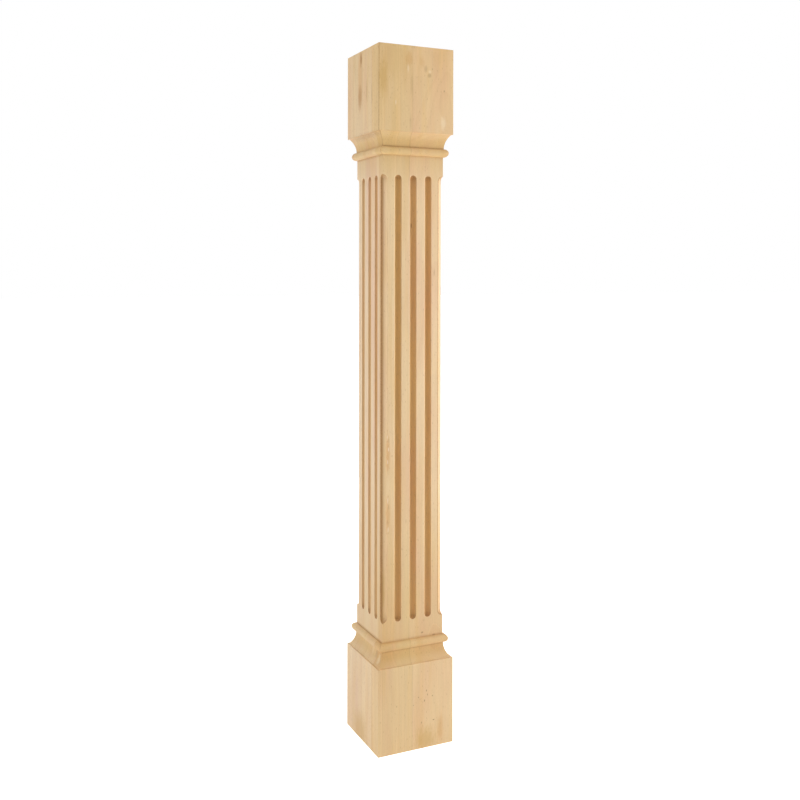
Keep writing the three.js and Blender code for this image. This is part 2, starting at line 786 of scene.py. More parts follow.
        def place(height: float) -> float:
            """Height above the underside."""
            return sizes.height - height if at_head else height

        rows = Outline(sizes).rows()
        half_end = sizes.width / 2 - rows[0].depth
        rings = [
            self.plain_ring(place(0), half_end * scale, block_ease * scale)
            for scale in self.cap_scales
        ]
        for row in rows:
            half = sizes.width / 2 - row.depth
            in_block = row.depth < sizes.ledge_depth
            ease = block_ease if in_block else sizes.corner_ease
            on_shaft = row.depth >= sizes.shaft_depth
            # Painted shade along the arrises of the head block
            corner_shade = self.head_corner_shade if at_head and not on_shaft else 0.0
            rings.append(self.plain_ring(
                place(row.height), half, ease, row.torn, row.crevice_shades, corner_shade,
            ))
        for into in self.carved_levels()[:-1]:
            rings.append(self.carved_ring(place(sizes.carving_start + into), into))
        return rings

    def build(self) -> bpy.types.Object:
        """Builds the mesh of the whole post.

        Returns:
            The post as an object at the origin, with its grain paint on its points.
        """
        sizes = self.sizes
        lower = self.half_rings(End.FOOT)
        middle = self.carved_ring(sizes.height / 2, sizes.height)
        upper = self.half_rings(End.HEAD)
        caps = len(self.cap_scales)
        rings = lower + [middle] + upper[::-1]
        last = len(rings) - 1
        for i in range(last):
            at_end = i < caps or i >= last - caps
            self.stitch(rings[i], rings[i + 1], Grain.END if at_end else Grain.SIDE)
        self.cap(rings[0], 0.0, End.FOOT)
        self.cap(rings[-1], sizes.height, End.HEAD)
        return self.to_object()

    def to_object(self) -> bpy.types.Object:
        """Turns the collected points and faces into an object.

        Returns:
            The post as an object at the origin, its mesh with the grain paint.
        """
        mesh = bpy.data.meshes.new(self.name)
        mesh.from_pydata([tuple(point) for point in self.points], [], self.faces)
        for label in (item.name for item in fields(Paint)):
            layer = mesh.attributes.new(label, "FLOAT", "POINT")
            values = np.array([getattr(p, label) for p in self.paints], np.float32)
            layer.data.foreach_set("value", values)
        mesh.polygons.foreach_set("material_index", self.face_finish)
        mesh.shade_smooth()
        mesh.set_sharp_from_angle(angle=self.sharp_angle)
        post = bpy.data.objects.new(self.name, mesh)
        bpy.context.scene.collection.objects.link(post)
        weighted = post.modifiers.new("even_faces", "WEIGHTED_NORMAL")
        weighted.keep_sharp = True
        weighted.weight = self.even_weight
        return post

    def dress(self, post: bpy.types.Object, finishes: Iterable[bpy.types.Material]) -> None:
        """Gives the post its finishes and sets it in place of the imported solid.

        Args:
            post: The post's object.
            finishes: The side grain's finish, then the end grain's.
        """
        for finish in finishes:
            post.data.materials.append(finish)
        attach(post, POST_BODY)
        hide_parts(POST_NODE)


# Building node trees


class Mixing(Enum):
    """How one colour is laid over another."""

    OVER = "MIX"
    TIMES = "MULTIPLY"


class Wiring:
    """Places and links the nodes of one tree.

    The Mix node has several sockets of each name, so those for colours go by number.
    """

    NODE_SPACING: ClassVar[int] = 180
    MIX_FIRST: ClassVar[int] = 6
    MIX_SECOND: ClassVar[int] = 7
    MIX_RESULT: ClassVar[int] = 2

    def __init__(self, tree: bpy.types.NodeTree) -> None:
        """Keeps the tree to work on."""
        self.tree = tree

    def node(self, kind: str, **settings: object) -> bpy.types.Node:
        """Adds a node and sets its plain properties.

        Args:
            kind: The type of node.
            **settings: Properties of the node and their values.

        Returns:
            The node.
        """
        made = self.tree.nodes.new(kind)
        made.location = (self.NODE_SPACING * len(self.tree.nodes), 0)
        for name, value in settings.items():
            setattr(made, name, value)
        return made

    def feed(self, socket: Socket, source: Source) -> None:
        """Links a socket to another one, or sets its own value.

        Args:
            socket: The input to feed.
            source: An output to link it to, or the value to set.
        """
        if isinstance(source, bpy.types.NodeSocket):
            self.tree.links.new(source, socket)
        else:
            socket.default_value = source

    def maths(self, operation: str, *sources: Source) -> Socket:
        """One step of arithmetic on numbers.

        Args:
            operation: The operation's name.
            *sources: Its inputs, as numbers or sockets.

        Returns:
            The result's socket.
        """
        made = self.node("ShaderNodeMath", operation=operation)
        for socket, source in zip(made.inputs, sources):
            self.feed(socket, source)
        return made.outputs[0]

    def vector(self, operation: str, *sources: Source) -> Socket:
        """One step of arithmetic on vectors.

        Args:
            operation: The operation's name.
            *sources: Its vector inputs.

        Returns:
            The resulting vector, or the number where the operation gives one.
        """
        made = self.node("ShaderNodeVectorMath", operation=operation)
        for socket, source in zip(made.inputs, sources):
            self.feed(socket, source)
        gives_number = operation in ("LENGTH", "DISTANCE", "DOT_PRODUCT")
        return made.outputs["Value" if gives_number else "Vector"]

    def stretched(self, place: Source, reach: Sequence[float]) -> Socket:
        """A position divided by a reach along each axis, to stretch a pattern."""
        return self.vector("DIVIDE", place, tuple(reach))

    def split(self, vector: Source) -> tuple[Socket, Socket, Socket]:
        """Takes a vector apart.

        Args:
            vector: The vector, as a socket or a value.

        Returns:
            The sockets of its three parts.
        """
        made = self.node("ShaderNodeSeparateXYZ")
        self.feed(made.inputs[0], vector)
        return made.outputs[0], made.outputs[1], made.outputs[2]

    def join(self, x: Source, y: Source, z: Source) -> Socket:
        """Puts a vector together from three parts.

        Args:
            x: Its first part, as a socket or a number.
            y: Its second part.
            z: Its third part.

        Returns:
            The vector's socket.
        """
        made = self.node("ShaderNodeCombineXYZ")
        for socket, source in zip(made.inputs, (x, y, z)):
            self.feed(socket, source)
        return made.outputs[0]

    def between(self, value: Source, low: float, high: float) -> Socket:
        """How far a value has gone from low to high, from 0 to 1, easing in and out.

        Args:
            value: The value.
            low: Where it counts as 0, which may be above high.
            high: Where it counts as 1.

        Returns:
            The share's socket.
        """
        made = self.node("ShaderNodeMapRange", interpolation_type="SMOOTHSTEP", clamp=True)
        self.feed(made.inputs["Value"], value)
        self.feed(made.inputs["From Min"], low)
        self.feed(made.inputs["From Max"], high)
        return made.outputs["Result"]

    def scaled(self, value: Source, low: Source, high: Source) -> Socket:
        """Runs from low to high as a value goes from 0 to 1.

        Args:
            value: The value from 0 to 1.
            low: What it gives at 0.
            high: What it gives at 1.

        Returns:
            The result's socket.
        """
        made = self.node("ShaderNodeMapRange", clamp=True)
        self.feed(made.inputs["Value"], value)
        self.feed(made.inputs["To Min"], low)
        self.feed(made.inputs["To Max"], high)
        return made.outputs["Result"]

    def blend(
        self, share: Source, first: Source, second: Source, how: Mixing = Mixing.OVER,
    ) -> Socket:
        """Blends two colours.

        Args:
            share: How much of the second colour shows.
            first: The colour below.
            second: The colour above.
            how: The blending mode.

        Returns:
            The blended colour's socket.
        """
        made = self.node("ShaderNodeMix", data_type="RGBA", blend_type=how.value)
        made.clamp_factor = True
        self.feed(made.inputs["Factor"], share)
        self.feed(made.inputs[self.MIX_FIRST], first)
        self.feed(made.inputs[self.MIX_SECOND], second)
        return made.outputs[self.MIX_RESULT]

    def shade(self, colour: Source, amount: Source) -> Socket:
        """Makes a colour lighter or darker by a factor."""
        return self.vector("MULTIPLY", colour, self.join(amount, amount, amount))

    def cloud(
        self, place: Source, reach: Sequence[float], detail: float = 2.0,
        roughness: float = 0.5,
    ) -> Socket:
        """Soft noise stretched along each axis.

        Args:
            place: Position in millimetres.
            reach: Size of the clouds along each axis in millimetres.
            detail: How many finer layers it has.
            roughness: How strong the finer layers are.

        Returns:
            The noise's socket, mostly from 0.25 to 0.75.
        """
        made = self.node("ShaderNodeTexNoise", noise_dimensions="3D")
        self.feed(made.inputs["Vector"], self.stretched(place, reach))
        self.feed(made.inputs["Scale"], 1.0)
        self.feed(made.inputs["Detail"], detail)
        self.feed(made.inputs["Roughness"], roughness)
        return made.outputs["Fac"]

    def lookup(self, value: Source, stops: Sequence[Colour]) -> Socket:
        """Picks one colour of a list by a number from 0 to 1.

        Args:
            value: The number, the middle of a colour's share of the range.
            stops: The colours, which share the range evenly.

        Returns:
            The colour's socket.
        """
        made = self.node("ShaderNodeValToRGB")
        ramp = made.color_ramp
        ramp.interpolation = "CONSTANT"
        for i, colour in enumerate(stops):
            position = i / len(stops)
            stop = ramp.elements[i] if i < 2 else ramp.elements.new(position)
            stop.position = position
            stop.color = colour
        self.feed(made.inputs[0], value)
        return made.outputs[0]

    def paint(self, label: str) -> Socket:
        """A value painted on the points of the mesh, by its name."""
        return self.node("ShaderNodeAttribute", attribute_name=label).outputs["Fac"]

    def bump(self, height: Source, strength: float, depth: float) -> Socket:
        """A surface normal tilted by fine relief.

        Args:
            height: The relief's height, 0 where the surface is level.
            strength: How strongly it tilts the normal.
            depth: What a height of 1 stands for, in metres.

        Returns:
            The normal's socket.
        """
        made = self.node("ShaderNodeBump")
        self.feed(made.inputs["Height"], height)
        made.inputs["Strength"].default_value = strength
        made.inputs["Distance"].default_value = depth
        return made.outputs["Normal"]

    def placed(self, group: bpy.types.NodeTree, **values: Source) -> bpy.types.Node:
        """Places a node group and feeds its inputs.

        Args:
            group: The node group.
            **values: Its inputs by name, with _ for a space.

        Returns:
            The group's node.
        """
        made = self.node("ShaderNodeGroup", node_tree=group)
        for name, value in values.items():
            self.feed(made.inputs[name.replace("_", " ")], value)
        return made


class SharedEffect:
    """A node group with named inputs and outputs, built once and placed by the finishes."""

    def __init__(self, name: str) -> None:
        """Starts an empty group.

        Args:
            name: The group's name.
        """
        self.tree = bpy.data.node_groups.new(name, "ShaderNodeTree")
        self.wiring = Wiring(self.tree)
        self.entry = self.wiring.node("NodeGroupInput")
        self.exit = self.wiring.node("NodeGroupOutput")

    def takes(self, name: str, kind: str, default: float | None = None) -> Socket:
        """Adds an input.

        Args:
            name: The input's name.
            kind: Float, Vector or Color.
            default: Its value where nothing is fed in.

        Returns:
            The socket that gives its value inside the group.
        """
        socket = self.tree.interface.new_socket(
            name, in_out="INPUT", socket_type=f"NodeSocket{kind}"
        )
        if default is not None:
            socket.default_value = default
        return self.entry.outputs[name]

    def gives(self, name: str, kind: str, source: Socket) -> None:
        """Adds an output and links it.

        Args:
            name: The output's name.
            kind: Float, Vector or Color.
            source: The socket that it passes on.
        """
        self.tree.interface.new_socket(
            name, in_out="OUTPUT", socket_type=f"NodeSocket{kind}"
        )
        self.wiring.feed(self.exit.inputs[name], source)


# The wood


# Where the faces of the blocks and of the shaft lie towards -X and -Y, in millimetres
BLOCK_FACE = round(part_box(POST_NODE)[0].y / MM, 3)
SHAFT_FACE = BLOCK_FACE + PostSizes.shaft_depth


@dataclass(frozen=True)
class Board:
    """One board of the blank: its tint, and where its tree's heart lay, in millimetres."""

    tint: str
    heart_x: float
    heart_y: float
    lean: float


@dataclass(frozen=True)
class Blank:
    """How the blank is glued up: layers through its thickness, each of two boards.

    layer_joints are the glued faces along Y, and edge_joints is the joint along X in each
    layer, front layer first. boards come in pairs, a pair to a layer. Sizes are in
    millimetres from the middle of the post.
    """

    CHANNEL_ZERO: ClassVar[float] = 0.5

    layer_joints: tuple[float, ...] = (-37.1, 1.0, 39.1)
    edge_joints: tuple[float, ...] = (-6.5, 19.0, -24.0, 11.0)
    glue_half_width: float = 0.22
    heart_range: float = 300.0
    lean_range: float = 80.0
    boards: tuple[Board, ...] = (
        Board("f9eed8", -210.0, -105.0, 14.0),
        Board("fdf2e0", 42.0, 22.0, 46.0),
        Board("fdf7ee", 60.0, -14.0, 30.0),
        Board("fdf2dc", -60.0, 130.0, 24.0),
        Board("fbf6f0", 25.0, 92.0, 38.0),
        Board("f8eed6", 130.0, 60.0, -30.0),
        Board("fdf8f4", -20.0, -60.0, 20.0),
        Board("f9efd8", 20.0, -70.0, -40.0),
    )

    def as_colour(self, board: Board) -> Colour:
        """Packs a board's heart and lean into the channels of a colour.

        Args:
            board: The board.

        Returns:
            A colour that the group unpacks again.
        """
        values = (board.heart_x, board.heart_y, board.lean)
        red, green, blue = (
            self.CHANNEL_ZERO + value / span for value, span in zip(values, self.spans())
        )
        return (red, green, blue, 1.0)

    def spans(self) -> Triple:
        """What a whole channel stands for: across the post twice, then of lean."""
        return (2 * self.heart_range, 2 * self.heart_range, 2 * self.lean_range)

    def effect(self) -> bpy.types.NodeTree:
        """The group that says which board a point is in.

        Returns:
            A group that takes Position and gives Tint, Heart, Board and Joint.
        """
        group = SharedEffect("boards")
        place = group.takes("Position", "Vector")
        wiring = group.wiring
        x, y, _ = wiring.split(place)
        layer = 0.0
        edge = self.edge_joints[0]
        nearest = None
        for i, joint in enumerate(self.layer_joints):
            past = wiring.maths("GREATER_THAN", y, joint)
            change = self.edge_joints[i + 1] - self.edge_joints[i]
            layer = wiring.maths("ADD", past, layer)
            edge = wiring.maths("MULTIPLY_ADD", past, change, edge)
            gap = wiring.maths("ABSOLUTE", wiring.maths("SUBTRACT", y, joint))
            nearest = gap if nearest is None else wiring.maths("MINIMUM", nearest, gap)
        beside = wiring.maths("GREATER_THAN", x, edge)
        gap = wiring.maths("ABSOLUTE", wiring.maths("SUBTRACT", x, edge))
        nearest = wiring.maths("MINIMUM", nearest, gap)
        board = wiring.maths("MULTIPLY_ADD", layer, 2.0, beside)
        count = float(len(self.boards))
        share = wiring.maths("DIVIDE", wiring.maths("ADD", board, 0.5), count)
        tint = wiring.lookup(share, [linear(b.tint) for b in self.boards])
        packed = wiring.lookup(share, [self.as_colour(b) for b in self.boards])
        centred = wiring.vector("SUBTRACT", packed, (self.CHANNEL_ZERO,) * 3)
        joint_mask = wiring.between(nearest, 2 * self.glue_half_width, 0.0)
        group.gives("Tint", "Color", tint)
        group.gives("Heart", "Vector", wiring.vector("MULTIPLY", centred, self.spans()))
        group.gives("Board", "Float", board)
        group.gives("Joint", "Float", joint_mask)
        return group.tree


@dataclass(frozen=True)
class Swirl:
    """A place where the growth rings bulge round an old bud, in millimetres."""

    place: Triple
    reach: Triple
    bulge: float


@dataclass(frozen=True)
class GrowthRings:
    """The year rings of the wood, which show as arches, lines and arcs."""

    pitch: float = 4.2
    sway: float = 9.0
    sway_reach: Triple = (70.0, 70.0, 320.0)
    ripple: float = 1.1
    ripple_reach: Triple = (16.0, 16.0, 60.0)
    board_shift: float = 517.0
    year_shift: float = 0.37
    rise: tuple[float, float] = (0.45, 0.93)
    fall: tuple[float, float] = (1.0, 0.95)
    shown: tuple[float, float] = (0.25, 0.95)
    swirls: tuple[Swirl, ...] = (
        Swirl((19.0, BLOCK_FACE, 1046.0), (15.0, 30.0, 19.0), 4.4),
        Swirl((43.0, BLOCK_FACE, 1000.0), (13.0, 30.0, 26.0), -3.6),
        Swirl((20.0, BLOCK_FACE, 60.0), (26.0, 30.0, 30.0), 3.5),
        Swirl((BLOCK_FACE, 24.0, 1000.0), (30.0, 16.0, 40.0), -4.0),
    )

    def effect(self) -> bpy.types.NodeTree:
        """The group that draws the rings.

        Returns:
            A group that takes Position, Heart and Board, and gives Late, the mask of the
            dark late wood, and Year, the tone of each year.
        """
        group = SharedEffect("growth_rings")
        place = group.takes("Position", "Vector")
        heart = group.takes("Heart", "Vector")
        board = group.takes("Board", "Float")
        wiring = group.wiring
        up = wiring.maths("MULTIPLY", board, self.board_shift)
        shifted = wiring.vector("ADD", place, wiring.join(0.0, 0.0, up))
        sway = wiring.cloud(shifted, self.sway_reach, detail=1.0)
        ripple = wiring.cloud(shifted, self.ripple_reach, detail=2.0)
        radius = self.from_heart(wiring, place, heart)
        for cloud, amount in ((sway, self.sway), (ripple, self.ripple)):
            centred = wiring.maths("SUBTRACT", cloud, 0.5)
            radius = wiring.maths("MULTIPLY_ADD", centred, 2 * amount, radius)
        for swirl in self.swirls:
            near = self.nearness(wiring, place, swirl)
            radius = wiring.maths("MULTIPLY_ADD", near, swirl.bulge, radius)
        years = wiring.maths("DIVIDE", radius, self.pitch)
        years = wiring.maths("ADD", years, wiring.maths("MULTIPLY", board, self.year_shift))
        part = wiring.maths("FRACT", years)
        rise = wiring.between(part, *self.rise)
        fall = wiring.between(part, *self.fall)
        white = wiring.node("ShaderNodeTexWhiteNoise", noise_dimensions="1D")
        wiring.feed(white.inputs["W"], wiring.maths("FLOOR", years))
        year = white.outputs["Value"]
        strength = wiring.between(year, *self.shown)
        late = wiring.maths("MULTIPLY", wiring.maths("MULTIPLY", rise, fall), strength)
        group.gives("Late", "Float", late)
        group.gives("Year", "Float", year)
        return group.tree

    @staticmethod
    def from_heart(wiring: Wiring, place: Socket, heart: Socket) -> Socket:
        """How far a point is from the leaning heart of its board's tree.

        Args:
            wiring: The group's nodes.
            place: Position in millimetres.
            heart: The heart's place across the post, and its lean along it.

        Returns:
            The distance's socket, in millimetres.
        """
        x, y, z = wiring.split(place)
        heart_x, heart_y, lean = wiring.split(heart)
        drift = wiring.maths("MULTIPLY", wiring.maths("MULTIPLY", z, MM), lean)
        away_x = wiring.maths("SUBTRACT", x, heart_x)
        away_y = wiring.maths("SUBTRACT", wiring.maths("SUBTRACT", y, heart_y), drift)
        return wiring.vector("LENGTH", wiring.join(away_x, away_y, 0.0))

    @staticmethod
    def nearness(wiring: Wiring, place: Socket, swirl: Swirl) -> Socket:
        """How near a point is to a swirl, from 0 far off to 1 at its middle.

        Args:
            wiring: The group's nodes.
            place: Position in millimetres.
            swirl: The swirl.

        Returns:
            The nearness's socket.
        """
        away = wiring.vector("SUBTRACT", place, swirl.place)
        scaled = wiring.vector("LENGTH", wiring.stretched(away, swirl.reach))
        square = wiring.maths("MULTIPLY", scaled, scaled)
        return wiring.maths("EXPONENT", wiring.maths("MULTIPLY", square, -1.0))


@dataclass(frozen=True)
class Fibres:
    """The fine structure of the wood: fibre streaks, pores and small brown flecks."""

    streak_reach: Triple = (0.9, 0.9, 46.0)
    pore_reach: Triple = (0.32, 0.32, 5.0)
    fleck_reach: Triple = (2.2, 2.2, 7.5)
    fleck_share: float = 0.22
    streak_range: tuple[float, float] = (0.22, 0.78)
    pore_range: tuple[float, float] = (0.58, 0.72)
    fleck_range: tuple[float, float] = (0.30, 0.06)

    def effect(self) -> bpy.types.NodeTree:
        """The group that draws the fine structure.

        Returns:
            A group that takes Position and gives Streak, Pore and Fleck.
        """
        group = SharedEffect("fibres")
        place = group.takes("Position", "Vector")
        wiring = group.wiring
        streak = wiring.cloud(place, self.streak_reach, detail=3.0, roughness=0.6)
        pore = wiring.cloud(place, self.pore_reach, detail=1.0)
        cells = wiring.node("ShaderNodeTexVoronoi", voronoi_dimensions="3D")
        wiring.feed(cells.inputs["Vector"], wiring.stretched(place, self.fleck_reach))
        wiring.feed(cells.inputs["Scale"], 1.0)
        chosen, _, _ = wiring.split(cells.outputs["Color"])
        kept = wiring.maths("LESS_THAN", chosen, self.fleck_share)
        spindle = wiring.between(cells.outputs["Distance"], *self.fleck_range)
        group.gives("Streak", "Float", wiring.between(streak, *self.streak_range))
        group.gives("Pore", "Float", wiring.between(pore, *self.pore_range))
        group.gives("Fleck", "Float", wiring.maths("MULTIPLY", kept, spindle))
        return group.tree


@dataclass(frozen=True)
class TornGrain:
    """Torn-out grain, and the painted shade of sharp inner corners and pockets, made patchy by
    the same noise.
    """

    reach: Triple = (2.6, 2.6, 0.9)
    pit_range: tuple[float, float] = (0.59, 0.75)
    across_range: tuple[float, float] = (0.2, 0.4)
    shade_range: tuple[float, float] = (0.35, 0.6)
    least_shade: float = 0.45

    def effect(self) -> bpy.types.NodeTree:
        """The group that draws the pits and the painted shade.

        Returns:
            A group that takes Position, Across and Crevice, and gives Pits and Shading.
        """
        group = SharedEffect("torn_grain")
        place = group.takes("Position", "Vector")
        across = group.takes("Across", "Float", 0.0)
        crevice_shade = group.takes("Crevice", "Float", 0.0)
        wiring = group.wiring
        torn = wiring.cloud(place, self.reach, detail=3.0, roughness=0.7)
        open_grain = wiring.between(across, *self.across_range)
        pits = wiring.maths("MULTIPLY", wiring.between(torn, *self.pit_range), open_grain)
        # Painted shade in inner corners and pockets, made patchy
        patchy = wiring.scaled(wiring.between(torn, *self.shade_range), self.least_shade, 1.0)
        painted_shade = wiring.maths("MULTIPLY", patchy, crevice_shade)
        group.gives("Pits", "Float", pits)
        group.gives("Dust", "Float", painted_shade)
        return group.tree


class Tone(Enum):
    """Which colour of the palette a mark in the wood has."""

    MINERAL = "mineral"
    AMBER = "amber"
    DARK = "dark"
    GOLD = "gold"
    PALE = "bare"


@dataclass(frozen=True)
class Mark:
    """A mark at one place in the wood, long along the grain, in millimetres."""

    tone: Tone
    place: Triple
    reach: Triple
    strength: float


@dataclass(frozen=True)
class MarkEdge:
    """The soft, ragged edge that every mark in the wood has."""

    raggedness: float = 1.1
    edge_range: tuple[float, float] = (1.5, 0.75)

    def effect(self) -> bpy.types.NodeTree:
        """The group that draws one mark.

        Returns:
            A group that takes Position, Place, Reach, Ragged and Strength, and gives Mask.
        """
        group = SharedEffect("mark")
        position, place, reach = (
            group.takes(name, "Vector") for name in ("Position", "Place", "Reach")
        )
        ragged = group.takes("Ragged", "Float", 0.5)
        strength = group.takes("Strength", "Float", 1.0)
        wiring = group.wiring
        away = wiring.vector("SUBTRACT", position, place)
        distance = wiring.vector("LENGTH", wiring.vector("DIVIDE", away, reach))
        uneven = wiring.maths("MULTIPLY_ADD", ragged, self.raggedness, distance)
        mask = wiring.between(uneven, *self.edge_range)
        group.gives("Mask", "Float", wiring.maths("MULTIPLY", mask, strength))
        return group.tree


@dataclass(frozen=True)
class WoodEffects:
    """The node groups that the finishes of the post are made with, each built once."""

    boards: bpy.types.NodeTree
    rings: bpy.types.NodeTree
    fibres: bpy.types.NodeTree
    torn: bpy.types.NodeTree
    mark: bpy.types.NodeTree

    @classmethod
    def build(cls) -> "WoodEffects":
        """Builds each group once.

        Returns:
            The groups.
        """
        return cls(
            boards=Blank().effect(),
            rings=GrowthRings().effect(),
            fibres=Fibres().effect(),
            torn=TornGrain().effect(),
            mark=MarkEdge().effect(),
        )


@dataclass(frozen=True)
class WoodPalette:
    """The colours that both finishes are mixed from."""

    pale: Colour = linear("efd7ae")
    rosy: Colour = linear("ebcaa6")
    honey: Colour = linear("ebcc95")
    late: Colour = linear("cf9f6c")
    fleck: Colour = linear("a8764a")
    glue: Colour = linear("b98e60")
    mineral: Colour = linear("9c6840")
    amber: Colour = linear("d49a56")
    gold: Colour = linear("cfa65c")
    dark: Colour = linear("8a5c34")
    bare: Colour = linear("fbe9c8")


class WoodFinish:
    """A wood material begun: its shader, and the groups that every wood finish places."""

    IOR: ClassVar[float] = 1.46
    SPECULAR: ClassVar[float] = 0.35

    def __init__(self, name: str, effects: WoodEffects) -> None:
        """Starts the material.

        Args:
            name: The material's name.
            effects: The shared groups.
        """
        self.material = bpy.data.materials.new(name)
        self.material.use_nodes = True
        self.material.node_tree.nodes.clear()
        wiring = self.wiring = Wiring(self.material.node_tree)
        self.shader = wiring.node("ShaderNodeBsdfPrincipled")
        self.shader.inputs["IOR"].default_value = self.IOR
        self.shader.inputs["Specular IOR Level"].default_value = self.SPECULAR
        surface = wiring.node("ShaderNodeOutputMaterial")
        wiring.feed(surface.inputs["Surface"], self.shader.outputs["BSDF"])
        own = wiring.node("ShaderNodeTexCoord").outputs["Object"]
        self.place = wiring.vector("MULTIPLY", own, (1 / MM, 1 / MM, 1 / MM))
        boards = wiring.placed(effects.boards, Position=self.place)
        self.tint = boards.outputs["Tint"]
        self.joint = boards.outputs["Joint"]
        rings = wiring.placed(
            effects.rings, Position=self.place, Heart=boards.outputs["Heart"],
            Board=boards.outputs["Board"],
        )
        self.late = rings.outputs["Late"]
        self.year = rings.outputs["Year"]
        fibres = wiring.placed(effects.fibres, Position=self.place)
        self.streak = fibres.outputs["Streak"]
        self.pore = fibres.outputs["Pore"]
        self.fleck = fibres.outputs["Fleck"]

    def tinged(self, colour: Source, mask: Source, share: float, with_colour: Colour) -> Socket:
        """Lays a colour over another where a mask says, at a share of its full strength."""
        strength = self.wiring.maths("MULTIPLY", mask, share)
        return self.wiring.blend(strength, colour, with_colour)

    def relief(self, parts: Iterable[tuple[Socket, float]]) -> Socket:
        """Adds up a height from masks, each with its own share.

        Args:
            parts: Masks, each with what it adds where it is 1.

        Returns:
            The height's socket.
        """
        height: Source = 0.0
        for mask, share in parts:
            height = self.wiring.maths("MULTIPLY_ADD", mask, share, height)
        return height

    def close(self, colour: Source, roughness: Source, normal: Source) -> bpy.types.Material:
        """Feeds the shader.

        Args:
            colour: The colour of the wood.
            roughness: How rough it is.
            normal: Its normal with the fine relief.

        Returns:
            The finished material.
        """
        inputs = self.shader.inputs
        self.wiring.feed(inputs["Base Color"], colour)
        self.wiring.feed(inputs["Roughness"], roughness)
        self.wiring.feed(inputs["Normal"], normal)
        return self.material


